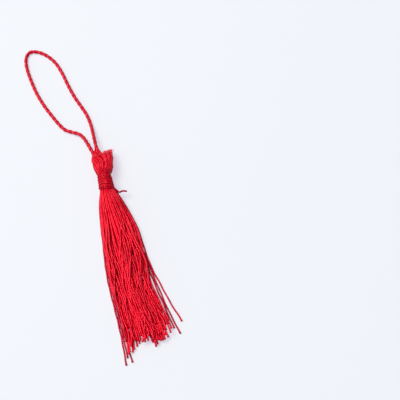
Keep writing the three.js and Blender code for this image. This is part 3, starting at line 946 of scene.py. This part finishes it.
class TASSEL_OT_stage(bpy.types.Operator):
    """Set the table, the soft light and the camera"""

    bl_idname = "tassel.stage"
    bl_label = "Table, Light and Camera"

    def execute(self, context):
        settings = context.scene.tassel_stage
        aim = Vector(AIM) * MM
        ahead = Vector((math.sin(settings.heading), math.cos(settings.heading), 0))
        aside = Vector((ahead.y, -ahead.x, 0))
        up = Vector((0, 0, 1))
        look = ahead * math.cos(settings.elevation) - up * math.sin(settings.elevation)
        lens = bpy.data.cameras.new("camera")
        lens.lens = 85
        lens.sensor_width = 36
        lens.clip_start = 0.01
        camera = placed("camera", lens)
        camera.location = aim - look * settings.distance
        camera.rotation_euler = look.to_track_quat("-Z", "Y").to_euler()
        context.scene.camera = camera

        mesh = bpy.data.meshes.new("table")
        far = TABLE_REACH
        corners = [(-far, -far, 0), (far, -far, 0), (far, far, 0), (-far, far, 0)]
        mesh.from_pydata(corners, [], [(0, 1, 2, 3)])
        mesh.materials.append(self.table_material(settings))
        placed("table", mesh)

        window = aim + aside * WINDOW[0] + ahead * WINDOW[1] + up * WINDOW[2]
        self.area_light("window", window, aim, 0.75, 12.2, "#FFFCF8")
        world = bpy.data.worlds.new("room")
        world.use_nodes = True
        backdrop = world.node_tree.nodes["Background"]
        backdrop.inputs["Color"].default_value = srgb("#EDF0FF")
        shades = world.node_tree
        outwards = add_node(shades, "ShaderNodeTexCoord").outputs["Generated"]
        to_window = add_node(
            shades, "ShaderNodeVectorMath", {0: outwards, 1: -aside}, operation="DOT_PRODUCT"
        )
        strength = remap(shades, to_window.outputs["Value"], -1.0, 1.0, 0.16, 0.84)
        shades.links.new(strength, backdrop.inputs["Strength"])
        context.scene.world = world
        context.scene.view_settings.view_transform = "Standard"
        return {"FINISHED"}

    def table_material(self, settings):
        """Smooth matte card, with the faintest clouding."""
        material, tree, shader = new_material(
            "bright_white_card",
            {
                "Roughness": 0.8,
                "Specular IOR Level": 0.1,
                "Emission Color": srgb("#F1E7FA"),
                "Emission Strength": 0.62,
            },
        )
        place = add_node(tree, "ShaderNodeTexCoord").outputs["Object"]
        cloud = add_node(tree, "ShaderNodeTexNoise", {"Vector": place, "Scale": 9.0, "Detail": 2.0})
        ramp = add_node(tree, "ShaderNodeValToRGB", {"Fac": cloud.outputs["Fac"]})
        ramp.color_ramp.elements[0].color = [c * 0.985 for c in settings.table] + [1]
        ramp.color_ramp.elements[1].color = [*settings.table, 1]
        tree.links.new(ramp.outputs["Color"], shader.inputs["Base Color"])
        return material

    def area_light(self, name, place, aim, size, power, colour):
        light = bpy.data.lights.new(name, "AREA")
        light.shape = "DISK"
        light.size = size
        light.energy = power
        light.color = srgb(colour)[:3]
        lamp = placed(name, light)
        lamp.location = place
        lamp.rotation_euler = (aim - place).to_track_quat("-Z", "Y").to_euler()


class TASSEL_OT_hanging_loop(bpy.types.Operator):
    """Twist the two-ply cord of the hanging loop along its route"""

    bl_idname = "tassel.hanging_loop"
    bl_label = "Hanging Loop"

    def execute(self, context):
        settings = context.scene.tassel_loop
        into_head = 1.6 * MM
        route = [Vector(point) for point in LOOP_ROUTE]
        for end, inner in ((0, 1), (-1, -2)):
            route[end] = route[end] + (route[end] - route[inner]).normalized() * into_head
        path = smooth_route(route, 8)
        cord_red = silky(
            "plied_rayon_cord",
            *reds(context.scene.tassel_yarn),
            filaments=6,
            lay=6.0,
            bump=0.5,
            shine=0.7,
        )
        tree = plied_cord_tree(twisted_yarn_tree())
        inputs = {"Diameter": settings.diameter, "Lay Length": settings.lay_length, "Material": cord_red}
        piece = spin(tree, "plied_loop_cord", [(path / MM, 1.0, 0.42)], inputs)
        finish_piece(piece, "cord", "hanging_loop")
        return {"FINISHED"}


class TASSEL_OT_skirt(bpy.types.Operator):
    """Fan the skirt's yarns out on the table, in three pieces from left to right"""

    bl_idname = "tassel.skirt"
    bl_label = "Skirt"

    def execute(self, context):
        settings = context.scene.tassel_yarn
        radius = settings.thickness / MM / 2
        paths, side = skirt_paths(settings.count, radius, settings.seed)
        tree = twisted_yarn_tree()
        inputs = {
            "Radius": settings.thickness / 2,
            "Twist Length": settings.twist_length,
            "Seed": settings.seed,
            "Material": yarn_finish(settings),
        }
        order = np.argsort(side)
        for name, share in zip(("left", "middle", "right"), np.array_split(order, 3)):
            piece = spin(tree, "skirt_yarns_" + name, [paths[i] for i in share], inputs)
            finish_piece(piece, "yarn", "tassel_body")
        return {"FINISHED"}


class TASSEL_OT_head(bpy.types.Operator):
    """Fold the head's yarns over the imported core, with the frayed tuft at the right"""

    bl_idname = "tassel.head"
    bl_label = "Head"

    def execute(self, context):
        settings = context.scene.tassel_yarn
        radius = settings.thickness / MM / 2 * 1.12
        tree = twisted_yarn_tree()
        inputs = {
            "Radius": radius * MM,
            "Twist Length": settings.twist_length,
            "Step": 0.33 * MM,
            "Seed": settings.seed + 1,
            "Material": yarn_finish(settings),
        }
        yarns = spin(tree, "head_yarns", head_paths(settings.folds, radius, settings.seed), inputs)
        finish_piece(yarns, "yarn", "tassel_body")

        core = core_mesh("packed_core", 1.0)
        # The core is painted a deep dark red, darker than the yarns: painted shade in the gaps between the
        # surface yarns
        core_red, shades, shader = new_material(
            "packed_yarn_painted_shade", {"Base Color": srgb("#84000F"), "Roughness": 0.7, "Specular IOR Level": 0.1}
        )
        place = add_node(shades, "ShaderNodeTexCoord").outputs["Object"]
        long = add_node(shades, "ShaderNodeMapping", {"Vector": place, "Scale": (4000, 400, 4000)})
        streaks = add_node(shades, "ShaderNodeTexNoise", {"Vector": long.outputs[0], "Scale": 1.0})
        bumps = add_node(shades, "ShaderNodeBump", {"Distance": 0.1 * MM, "Height": streaks.outputs["Fac"]})
        shades.links.new(bumps.outputs["Normal"], shader.inputs["Normal"])
        core.data.materials.append(core_red)
        finish_piece(core, "yarn", "tassel_body")

        # The loose filaments are painted paler and pinker than the yarn: painted light shining through them
        wisps = silky(
            "cut_filament_ends",
            srgb("#D80C28"),
            srgb("#E8102C"),
            srgb("#FF7484"),
            filaments=1,
            lay=1.0,
            bump=0.1,
        )
        inputs = {
            "Radius": 0.08 * MM,
            "Ply Relief": 0.0,
            "Step": 0.22 * MM,
            "Sides": 4,
            "Material": wisps,
        }
        tuft = spin(tree, "frayed_tuft", tuft_paths(settings.seed), inputs)
        finish_piece(tuft, "yarn", "tassel_body")
        return {"FINISHED"}


class TASSEL_OT_neck_binding(bpy.types.Operator):
    """Wind the binding thread round the neck"""

    bl_idname = "tassel.neck_binding"
    bl_label = "Neck Binding"

    def execute(self, context):
        settings = context.scene.tassel_binding
        radius = settings.thickness / MM / 2
        thread_red = silky(
            "rayon_binding_thread",
            *reds(context.scene.tassel_yarn),
            filaments=4,
            lay=4.0,
            bump=0.5,
            shine=0.7,
        )
        inputs = {
            "Radius": settings.thickness / 2,
            "Ply Relief": 0.14,
            "Twist Length": 1.5 * MM,
            "Step": 0.2 * MM,
            "Seed": settings.seed,
            "Material": thread_red,
        }
        paths = binding_paths(settings.turns, radius, settings.seed)
        piece = spin(twisted_yarn_tree(), "wound_thread", paths, inputs)
        finish_piece(piece, "thread", "neck_binding")
        return {"FINISHED"}


class TASSEL_PT_panel(bpy.types.Panel):
    """Every step of the tassel, in order"""

    bl_idname = "TASSEL_PT_panel"
    bl_label = "Silky Tassel"
    bl_space_type = "VIEW_3D"
    bl_region_type = "UI"
    bl_category = "Tassel"

    def draw(self, context):
        for group, operators in STEPS:
            box = self.layout.box()
            settings = getattr(context.scene, group)
            for name in settings.__annotations__:
                box.prop(settings, name)
            for operator in operators:
                box.operator(operator)


STEPS = (
    ("tassel_stage", ("tassel.stage",)),
    ("tassel_loop", ("tassel.hanging_loop",)),
    ("tassel_yarn", ("tassel.skirt", "tassel.head")),
    ("tassel_binding", ("tassel.neck_binding",)),
)
SETTINGS = {
    "tassel_stage": StageSettings,
    "tassel_loop": LoopSettings,
    "tassel_yarn": YarnSettings,
    "tassel_binding": BindingSettings,
}
CLASSES = (
    *SETTINGS.values(),
    TASSEL_OT_stage,
    TASSEL_OT_hanging_loop,
    TASSEL_OT_skirt,
    TASSEL_OT_head,
    TASSEL_OT_neck_binding,
    TASSEL_PT_panel,
)


def register():
    for cls in CLASSES:
        bpy.utils.register_class(cls)
    for name, group in SETTINGS.items():
        setattr(bpy.types.Scene, name, PointerProperty(type=group))


def unregister():
    for name in SETTINGS:
        delattr(bpy.types.Scene, name)
    for cls in reversed(CLASSES):
        bpy.utils.unregister_class(cls)


def main():
    register()
    bpy.ops.tassel.stage()
    bpy.ops.tassel.hanging_loop()
    bpy.ops.tassel.skirt()
    bpy.ops.tassel.head()
    bpy.ops.tassel.neck_binding()


if __name__ == "__main__":
    main()
